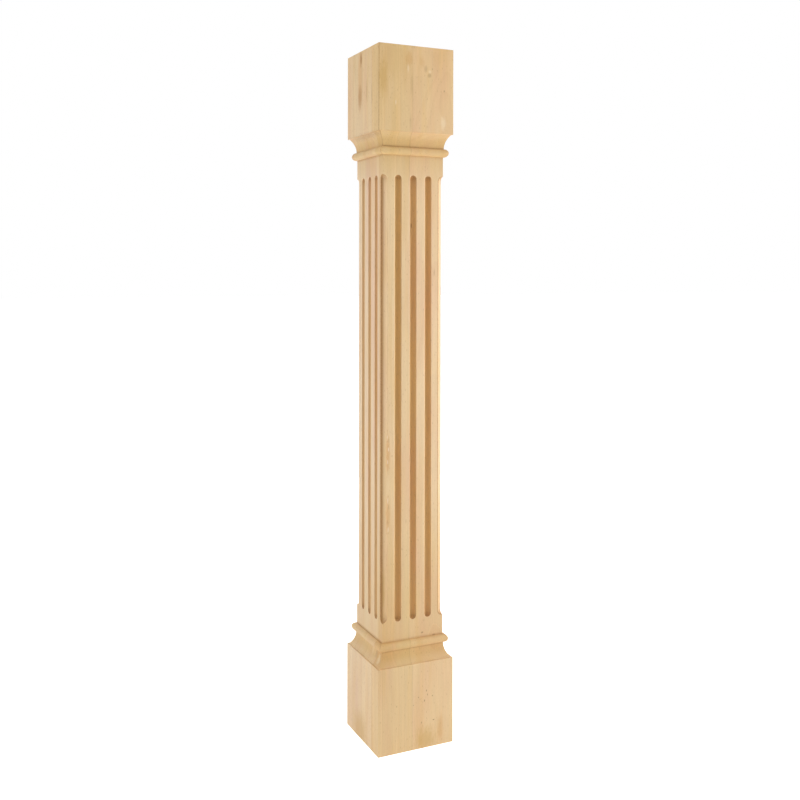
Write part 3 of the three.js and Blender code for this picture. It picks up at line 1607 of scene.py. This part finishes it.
@dataclass(frozen=True)
class SideGrainFinish:
    """Machine-sanded long grain, as on the faces, mouldings and flutes of the post.

    A share says how strongly a colour is laid on, a tone or tint multiplies the colour, and
    a rise is what a mask adds to the height of the fine relief.
    """

    effects: WoodEffects
    palette: WoodPalette = WoodPalette()
    name: str = "maple_side_grain"
    wash_reach: Triple = (36.0, 36.0, 210.0)
    wash_range: tuple[float, float] = (0.42, 0.70)
    wash_share: float = 0.8
    gold_reach: Triple = (16.0, 16.0, 130.0)
    gold_range: tuple[float, float] = (0.45, 0.74)
    gold_share: float = 0.5
    year_tones: tuple[float, float] = (0.968, 1.018)
    streak_tones: tuple[float, float] = (0.955, 1.032)
    late_share: float = 0.22
    pore_share: float = 0.16
    fleck_share: float = 0.38
    glue_share: float = 0.5
    pit_share: float = 0.42
    # Painted shade in inner corners and pockets
    shade_share: float = 0.78
    # Wear with a painted highlight
    wear_and_highlight_tone: float = 1.1
    # Painted shade in flutes and scoops
    hollow_shade_range: tuple[float, float] = (0.0, 0.9)
    hollow_shade_tint: Triple = (0.91, 0.79, 0.61)
    across_range: tuple[float, float] = (0.05, 0.6)
    across_tint: Triple = (0.95, 0.885, 0.70)
    # Sanding together with painted light
    sanded_and_lit_tint: Triple = (1.09, 1.13, 1.30)
    roughness: tuple[float, float] = (0.53, 0.67)
    late_polish: float = -0.08
    bump_strength: float = 0.55
    bump_depth: float = 0.0004
    streak_rise: float = 0.16
    pore_rise: float = -0.14
    fleck_rise: float = -0.08
    late_rise: float = 0.10
    joint_rise: float = -0.55
    pit_rise: float = -0.8
    knife_rise: float = 0.05
    knife_pitch: float = 1.7
    ragged_reach: Triple = (1.6, 1.6, 9.0)
    marks: tuple[Mark, ...] = (
        # The narrow face: the upper block, its cove, and the cove at the foot
        Mark(Tone.MINERAL, (BLOCK_FACE, 6.6, 1066.0), (5.0, 5.5, 15.0), 0.8),
        Mark(Tone.MINERAL, (BLOCK_FACE, 11.0, 1008.0), (5.0, 11.0, 27.0), 0.5),
        Mark(Tone.AMBER, (BLOCK_FACE, 10.0, 1035.0), (5.0, 14.0, 80.0), 0.35),
        Mark(Tone.MINERAL, (BLOCK_FACE, -17.0, 1014.0), (5.0, 3.0, 28.0), 0.3),
        Mark(Tone.MINERAL, (BLOCK_FACE, -37.0, 1006.0), (5.0, 3.0, 24.0), 0.3),
        # Painted shade: darkens the start of the upper cove on this face
        Mark(Tone.MINERAL, (-61.0, -8.0, 942.0), (7.0, 110.0, 11.0), 0.42),
        Mark(Tone.MINERAL, (-55.0, -34.0, 147.0), (6.0, 5.0, 9.0), 0.3),
        Mark(Tone.PALE, (-56.0, -46.0, 143.0), (7.0, 7.0, 13.0), 0.55),
        Mark(Tone.PALE, (-55.0, -20.0, 149.0), (6.0, 6.0, 11.0), 0.4),
        # The wide face of the upper block
        Mark(Tone.GOLD, (-56.0, BLOCK_FACE, 1026.0), (11.0, 8.0, 44.0), 0.5),
        Mark(Tone.GOLD, (-40.0, BLOCK_FACE, 1060.0), (40.0, 8.0, 50.0), 0.22),
        Mark(Tone.AMBER, (-14.0, BLOCK_FACE, 1059.0), (9.0, 5.0, 17.0), 0.32),
        Mark(Tone.MINERAL, (-8.5, BLOCK_FACE, 1018.0), (3.6, 5.0, 28.0), 0.18),
        Mark(Tone.MINERAL, (-10.5, BLOCK_FACE, 963.0), (3.0, 5.0, 20.0), 0.15),
        Mark(Tone.AMBER, (9.0, BLOCK_FACE, 1056.0), (6.0, 5.0, 13.0), 0.22),
        Mark(Tone.MINERAL, (15.5, BLOCK_FACE, 1045.5), (4.6, 5.0, 8.0), 0.22),
        Mark(Tone.MINERAL, (21.5, BLOCK_FACE, 1036.0), (5.6, 5.0, 5.0), 0.3),
        Mark(Tone.DARK, (26.6, BLOCK_FACE, 1046.5), (1.8, 3.0, 2.2), 0.4),
        Mark(Tone.PALE, (22.5, BLOCK_FACE, 1042.0), (4.0, 3.0, 3.4), 0.35),
        Mark(Tone.DARK, (47.1, BLOCK_FACE, 1014.0), (1.8, 3.0, 2.4), 0.4),
        Mark(Tone.PALE, (-14.5, BLOCK_FACE, 1044.0), (2.4, 3.0, 10.0), 0.32),
        Mark(Tone.PALE, (-35.2, BLOCK_FACE, 991.0), (1.6, 3.0, 6.0), 0.42),
        Mark(Tone.PALE, (45.5, BLOCK_FACE, 964.0), (6.0, 3.0, 15.0), 0.38),
        # The lower block
        Mark(Tone.DARK, (4.1, BLOCK_FACE, 79.5), (1.1, 2.0, 1.8), 0.6),
        Mark(Tone.DARK, (17.8, BLOCK_FACE, 87.8), (1.0, 2.0, 2.6), 0.65),
        Mark(Tone.DARK, (19.5, BLOCK_FACE, 81.3), (1.1, 2.0, 2.2), 0.5),
        Mark(Tone.DARK, (28.1, BLOCK_FACE, 78.2), (1.4, 2.0, 1.6), 0.5),
        Mark(Tone.DARK, (14.4, BLOCK_FACE, 73.0), (1.2, 2.0, 3.0), 0.65),
        Mark(Tone.DARK, (-4.4, BLOCK_FACE, 68.7), (1.1, 2.0, 1.7), 0.65),
        Mark(Tone.DARK, (-33.1, BLOCK_FACE, 72.0), (1.0, 2.0, 2.0), 0.4),
        Mark(Tone.DARK, (9.2, BLOCK_FACE, 40.0), (1.4, 2.0, 2.6), 0.5),
        Mark(Tone.DARK, (29.8, BLOCK_FACE, 40.6), (2.6, 2.0, 1.1), 0.7),
        Mark(Tone.GOLD, (15.0, BLOCK_FACE, 14.0), (26.0, 9.0, 30.0), 0.5),
        Mark(Tone.AMBER, (42.0, BLOCK_FACE, 24.0), (7.0, 8.0, 30.0), 0.3),
        Mark(Tone.GOLD, (BLOCK_FACE, 10.0, 13.0), (9.0, 40.0, 44.0), 0.5),
        # The middle flute, and the scooped corner near the foot
        Mark(Tone.DARK, (-1.2, -46.0, 805.0), (1.2, 3.0, 6.0), 0.8),
        Mark(Tone.DARK, (-50.0, -46.0, 233.0), (2.0, 2.0, 9.0), 0.6),
        Mark(Tone.DARK, (-47.0, -50.0, 246.0), (1.6, 2.0, 5.0), 0.6),
        Mark(Tone.DARK, (-50.5, -47.0, 271.0), (2.0, 3.0, 7.0), 0.5),
        Mark(Tone.GOLD, (-48.0, -46.0, 250.0), (5.0, 5.0, 44.0), 0.5),
        # The wide face of the shaft
        Mark(Tone.AMBER, (-43.0, SHAFT_FACE, 455.0), (6.5, 5.0, 44.0), 0.5),
        Mark(Tone.AMBER, (-43.0, SHAFT_FACE, 362.0), (6.5, 5.0, 40.0), 0.45),
        Mark(Tone.DARK, (-41.0, SHAFT_FACE, 476.0), (0.8, 2.0, 5.0), 0.4),
        Mark(Tone.DARK, (-44.2, SHAFT_FACE, 453.0), (0.8, 2.0, 4.0), 0.35),
        Mark(Tone.DARK, (-41.0, SHAFT_FACE, 374.0), (0.8, 2.0, 6.0), 0.45),
        Mark(Tone.DARK, (-43.8, SHAFT_FACE, 351.0), (0.8, 2.0, 6.0), 0.4),
        Mark(Tone.PALE, (-43.4, SHAFT_FACE, 481.0), (0.9, 2.0, 5.0), 0.6),
        Mark(Tone.PALE, (-41.6, SHAFT_FACE, 462.0), (0.9, 2.0, 5.0), 0.6),
        Mark(Tone.PALE, (-42.8, SHAFT_FACE, 443.0), (0.9, 2.0, 5.0), 0.6),
        Mark(Tone.PALE, (-42.6, SHAFT_FACE, 384.0), (0.9, 2.0, 6.0), 0.6),
        Mark(Tone.PALE, (-42.0, SHAFT_FACE, 340.0), (0.9, 2.0, 6.0), 0.6),
        Mark(Tone.PALE, (-46.0, -50.0, 697.0), (1.2, 3.0, 7.0), 0.6),
        Mark(Tone.DARK, (-44.8, -51.0, 690.0), (0.8, 2.0, 5.0), 0.4),
        Mark(Tone.MINERAL, (36.2, SHAFT_FACE, 732.0), (2.4, 4.0, 9.0), 0.25),
        Mark(Tone.DARK, (-11.8, SHAFT_FACE, 350.0), (0.8, 2.0, 6.0), 0.3),
        Mark(Tone.DARK, (16.0, SHAFT_FACE, 174.0), (3.4, 3.0, 1.8), 0.5),
        Mark(Tone.DARK, (36.0, SHAFT_FACE, 168.0), (5.0, 3.0, 1.5), 0.5),
    )

    def build(self) -> bpy.types.Material:
        """Builds the material.

        Returns:
            The finish for the long-grain surfaces.
        """
        finish = WoodFinish(self.name, self.effects)
        wiring = finish.wiring
        across = wiring.paint("across")
        hollow_shade = wiring.paint("hollow_shade")
        torn = wiring.placed(
            self.effects.torn, Position=finish.place, Across=across,
            Crevice=wiring.paint("crevice_shade"),
        )
        pits, painted_shade = torn.outputs["Pits"], torn.outputs["Dust"]
        colour = self.marked(finish, self.grain_colour(finish))
        colour = self.cut_tones(finish, colour, hollow_shade, across)
        # Torn pits, and painted shade in inner corners and pockets, laid on in the fleck colour
        pits_and_shade = wiring.maths(
            "MAXIMUM", wiring.maths("MULTIPLY", pits, self.pit_share),
            wiring.maths("MULTIPLY", painted_shade, self.shade_share),
        )
        colour = wiring.blend(pits_and_shade, colour, self.palette.fleck)
        rough = wiring.scaled(finish.streak, *self.roughness)
        rough = wiring.maths("MULTIPLY_ADD", finish.late, self.late_polish, rough)
        _, _, z = wiring.split(finish.place)
        turn = wiring.maths("MULTIPLY", z, math.tau / self.knife_pitch)
        knife = wiring.maths("MULTIPLY", wiring.maths("SINE", turn), hollow_shade)
        height = finish.relief((
            (finish.streak, self.streak_rise), (finish.pore, self.pore_rise),
            (finish.fleck, self.fleck_rise), (finish.late, self.late_rise),
            (finish.joint, self.joint_rise), (pits, self.pit_rise), (knife, self.knife_rise),
        ))
        normal = wiring.bump(height, self.bump_strength, self.bump_depth)
        return finish.close(colour, rough, normal)

    def grain_colour(self, finish: WoodFinish) -> Socket:
        """Mixes the colour of the long grain before any marks.

        Args:
            finish: The material begun.

        Returns:
            The colour's socket.
        """
        palette, wiring = self.palette, finish.wiring
        wash = wiring.cloud(finish.place, self.wash_reach)
        gold = wiring.cloud(finish.place, self.gold_reach)
        rosy = wiring.between(wash, *self.wash_range)
        colour = finish.tinged(palette.pale, rosy, self.wash_share, palette.rosy)
        honey = wiring.between(gold, *self.gold_range)
        colour = finish.tinged(colour, honey, self.gold_share, palette.honey)
        colour = wiring.blend(1.0, colour, finish.tint, Mixing.TIMES)
        colour = wiring.shade(colour, wiring.scaled(finish.year, *self.year_tones))
        colour = finish.tinged(colour, finish.late, self.late_share, palette.late)
        colour = wiring.shade(colour, wiring.scaled(finish.streak, *self.streak_tones))
        colour = finish.tinged(colour, finish.pore, self.pore_share, palette.fleck)
        return finish.tinged(colour, finish.fleck, self.fleck_share, palette.fleck)

    def marked(self, finish: WoodFinish, colour: Socket) -> Socket:
        """Lays the marks and the glue lines over the grain.

        Args:
            finish: The material begun.
            colour: The colour so far.

        Returns:
            The colour's socket.
        """
        wiring = finish.wiring
        ragged = wiring.cloud(finish.place, self.ragged_reach, detail=3.0, roughness=0.7)
        for mark in self.marks:
            drawn = wiring.placed(
                self.effects.mark, Position=finish.place, Place=mark.place,
                Reach=mark.reach, Ragged=ragged, Strength=mark.strength,
            )
            tone = getattr(self.palette, mark.tone.value)
            colour = wiring.blend(drawn.outputs["Mask"], colour, tone)
        return finish.tinged(colour, finish.joint, self.glue_share, self.palette.glue)

    def cut_tones(
        self, finish: WoodFinish, colour: Socket, hollow_shade: Socket, across: Socket,
    ) -> Socket:
        """Darkens flutes and scoops with painted shade, tones the mouldings, and pales the wood
        where it is sanded and worn, with painted light and highlights there.

        Args:
            finish: The material begun.
            colour: The colour so far.
            hollow_shade: The painted shade in a flute or scoop.
            across: How much the cutter went across the grain.

        Returns:
            The colour's socket.
        """
        wiring = finish.wiring
        # Painted shade in hollows, the tone of the mouldings, and sanding with painted light
        tints = (
            (wiring.between(hollow_shade, *self.hollow_shade_range), self.hollow_shade_tint),
            (wiring.between(across, *self.across_range), self.across_tint),
            (wiring.paint("sanded_and_lit"), self.sanded_and_lit_tint),
        )
        for share, tint in tints:
            colour = wiring.blend(share, colour, wiring.vector("MULTIPLY", colour, tint))
        # Wear with a painted highlight
        return wiring.shade(colour, wiring.scaled(wiring.paint("wear_and_highlight"), 1.0, self.wear_and_highlight_tone))


@dataclass(frozen=True)
class EndGrainFinish:
    """Sawn end grain, as on the foot and the head of the post.

    Shares, tones and rises are as in the finish of the long grain.
    """

    effects: WoodEffects
    palette: WoodPalette = WoodPalette()
    name: str = "maple_end_grain"
    tone: Colour = linear("f6eadb")
    wash_reach: Triple = (30.0, 30.0, 200.0)
    wash_range: tuple[float, float] = (0.4, 0.65)
    late_share: float = 0.42
    pore_reach: Triple = (0.45, 0.45, 6.0)
    pore_range: tuple[float, float] = (0.56, 0.7)
    pore_share: float = 0.3
    glue_share: float = 0.7
    saw_pitch: float = 2.1
    saw_middle: Triple = (260.0, -170.0, 0.0)
    saw_sway: float = 3.0
    saw_sway_reach: Triple = (18.0, 18.0, 60.0)
    saw_tones: tuple[float, float] = (0.95, 1.03)
    roughness: tuple[float, float] = (0.78, 0.88)
    bump_strength: float = 0.6
    bump_depth: float = 0.0005
    saw_rise: float = 0.3
    pore_rise: float = -0.3
    joint_rise: float = -0.5
    late_rise: float = 0.2

    def build(self) -> bpy.types.Material:
        """Builds the material.

        Returns:
            The finish for the two sawn ends.
        """
        finish = WoodFinish(self.name, self.effects)
        palette, wiring = self.palette, finish.wiring
        wash = wiring.cloud(finish.place, self.wash_reach)
        honey = wiring.between(wash, *self.wash_range)
        colour = wiring.blend(honey, palette.pale, palette.honey)
        colour = wiring.blend(1.0, colour, self.tone, Mixing.TIMES)
        colour = wiring.blend(1.0, colour, finish.tint, Mixing.TIMES)
        colour = finish.tinged(colour, finish.late, self.late_share, palette.late)
        grit = wiring.cloud(finish.place, self.pore_reach)
        pores = wiring.between(grit, *self.pore_range)
        colour = finish.tinged(colour, pores, self.pore_share, palette.fleck)
        colour = finish.tinged(colour, finish.joint, self.glue_share, palette.glue)
        kerf = self.saw_marks(wiring, finish.place)
        colour = wiring.shade(colour, wiring.scaled(kerf, *self.saw_tones))
        rough = wiring.scaled(pores, *self.roughness)
        height = finish.relief((
            (kerf, self.saw_rise), (pores, self.pore_rise),
            (finish.joint, self.joint_rise), (finish.late, self.late_rise),
        ))
        normal = wiring.bump(height, self.bump_strength, self.bump_depth)
        return finish.close(colour, rough, normal)

    def saw_marks(self, wiring: Wiring, place: Socket) -> Socket:
        """The shallow arcs that a circular saw leaves, as a height from 0 to 1.

        Args:
            wiring: The material's nodes.
            place: Position in millimetres.

        Returns:
            The height's socket.
        """
        x, y, _ = wiring.split(place)
        away = wiring.vector("DISTANCE", wiring.join(x, y, 0.0), self.saw_middle)
        uneven = wiring.cloud(place, self.saw_sway_reach)
        turned = wiring.maths("MULTIPLY_ADD", uneven, self.saw_sway, away)
        phase = wiring.maths("MULTIPLY", turned, math.tau / self.saw_pitch)
        return wiring.maths("MULTIPLY_ADD", wiring.maths("SINE", phase), 0.5, 0.5)


# The studio


@dataclass(frozen=True)
class SoftBox:
    """A soft rectangular lamp that looks at the post, with sizes in metres.

    Azimuth is counted round the post from -Y towards +X, elevation up from level, and aim
    is the height on the post that the lamp looks at.
    """

    name: str
    azimuth: float
    width: float
    power: float
    height: float = 1.6
    elevation: float = 0.0
    distance: float = 2.0
    aim: float = 0.42
    colour: Triple = (1.0, 1.0, 1.0)

    def build(self) -> bpy.types.Object:
        """Sets up the lamp.

        Returns:
            The lamp's object.
        """
        lamp = bpy.data.lights.new(self.name, "AREA")
        lamp.shape = "RECTANGLE"
        lamp.size = self.width
        lamp.size_y = self.height
        lamp.energy = self.power
        lamp.color = self.colour
        turn, tilt = math.radians(self.azimuth), math.radians(self.elevation)
        level = self.distance * math.cos(tilt)
        target = Vector((0, 0, self.aim))
        rise = self.distance * math.sin(tilt)
        away = Vector((level * math.sin(turn), -level * math.cos(turn), rise))
        lamp_object = bpy.data.objects.new(self.name, lamp)
        lamp_object.location = target + away
        lamp_object.rotation_euler = (-away).to_track_quat("-Z", "Y").to_euler()
        bpy.context.scene.collection.objects.link(lamp_object)
        return lamp_object


@dataclass(frozen=True)
class Studio:
    """The pale floor, the white surroundings, the lamps and the camera."""

    floor_size: float = 60.0
    floor_colour: Colour = (0.8, 0.8, 0.8, 1.0)
    floor_roughness: float = 0.9
    ambient: float = 0.255
    floor_glow: float = 0.88
    floor_bounce: float = 0.28
    soft_boxes: tuple[SoftBox, ...] = (
        SoftBox("left_soft_box", -104.0, width=1.4, power=19.2, colour=(1.0, 0.985, 1.0)),
        SoftBox("right_soft_box", 62.0, width=0.8, power=37.0),
        SoftBox("top_soft_box", -30.0, width=1.6, power=17.0, elevation=80.0, aim=0.5),
        SoftBox("back_soft_box", 165.0, width=1.2, power=17.0, aim=0.45),
    )
    camera_place: Vector = field(
        default_factory=lambda: Vector((-0.66101, -1.44261, 0.72963))
    )
    camera_turn: float = 25.2515
    camera_dip: float = 0.2397
    camera_roll: float = 0.0676
    sensor_width: float = 36.0
    lens: float = 44.90
    shift: tuple[float, float] = (-0.0130, -0.1516)

    def build(self) -> None:
        """Sets up everything round the post."""
        self.build_floor()
        self.build_surroundings()
        for box in self.soft_boxes:
            box.build()
        self.build_camera()
        scene = bpy.context.scene
        scene.view_settings.view_transform = "Standard"
        scene.cycles.use_denoising = True

    def build_floor(self) -> bpy.types.Object:
        """Lays the pale floor at the height of the post's underside.

        Returns:
            The floor's object.
        """
        mesh = bpy.data.meshes.new("floor")
        reach = self.floor_size / 2
        signs = ((-1, -1), (1, -1), (1, 1), (-1, 1))
        corners = [(x * reach, y * reach, 0) for x, y in signs]
        mesh.from_pydata(corners, [], [(0, 1, 2, 3)])
        floor = bpy.data.objects.new("floor", mesh)
        bpy.context.scene.collection.objects.link(floor)
        material = bpy.data.materials.new("floor_paper")
        material.use_nodes = True
        shader = material.node_tree.nodes["Principled BSDF"]
        shader.inputs["Base Color"].default_value = self.floor_colour
        shader.inputs["Roughness"].default_value = self.floor_roughness
        shader.inputs["Emission Strength"].default_value = self.floor_glow
        wiring = Wiring(material.node_tree)
        seen = wiring.node("ShaderNodeLightPath").outputs["Is Camera Ray"]
        glow = wiring.scaled(seen, self.floor_bounce / self.floor_glow, 1.0)
        wiring.feed(shader.inputs["Emission Color"], wiring.join(glow, glow, glow))
        mesh.materials.append(material)
        return floor

    def build_surroundings(self) -> None:
        """Makes the surroundings white to the camera and dimmer as light on the post."""
        world = bpy.data.worlds.new("white_surroundings")
        world.use_nodes = True
        bpy.context.scene.world = world
        wiring = Wiring(world.node_tree)
        background = world.node_tree.nodes["Background"]
        background.inputs["Color"].default_value = WHITE
        seen = wiring.node("ShaderNodeLightPath").outputs["Is Camera Ray"]
        wiring.feed(background.inputs["Strength"], wiring.scaled(seen, self.ambient, 1.0))

    def build_camera(self) -> bpy.types.Object:
        """Sets the camera to the left of the wide face, upright and very nearly level.

        Returns:
            The camera's object.
        """
        camera = bpy.data.cameras.new("camera")
        camera.sensor_width = self.sensor_width
        camera.lens = self.lens
        camera.shift_x, camera.shift_y = self.shift
        placed = bpy.data.objects.new("camera", camera)
        turn, dip, roll = (
            math.radians(a) for a in (self.camera_turn, self.camera_dip, self.camera_roll)
        )
        spin = (
            Matrix.Rotation(-turn, 4, "Z")
            @ Matrix.Rotation(QUARTER_TURN - dip, 4, "X")
            @ Matrix.Rotation(roll, 4, "Z")
        )
        placed.matrix_world = Matrix.Translation(self.camera_place) @ spin
        bpy.context.scene.collection.objects.link(placed)
        bpy.context.scene.camera = placed
        return placed


def main() -> None:
    """Builds the studio and the post, and reports each piece."""
    logging.basicConfig(level=logging.INFO, format="%(name)s: %(message)s")
    Studio().build()
    effects = WoodEffects.build()
    maker = FlutedPost(PostSizes.from_frame())
    post = maker.build()
    finishes = [SideGrainFinish(effects).build(), EndGrainFinish(effects).build()]
    maker.dress(post, finishes)
    log.info("%s: %d points, %d faces", post.name, len(maker.points), len(maker.faces))


if __name__ == "__main__":
    main()
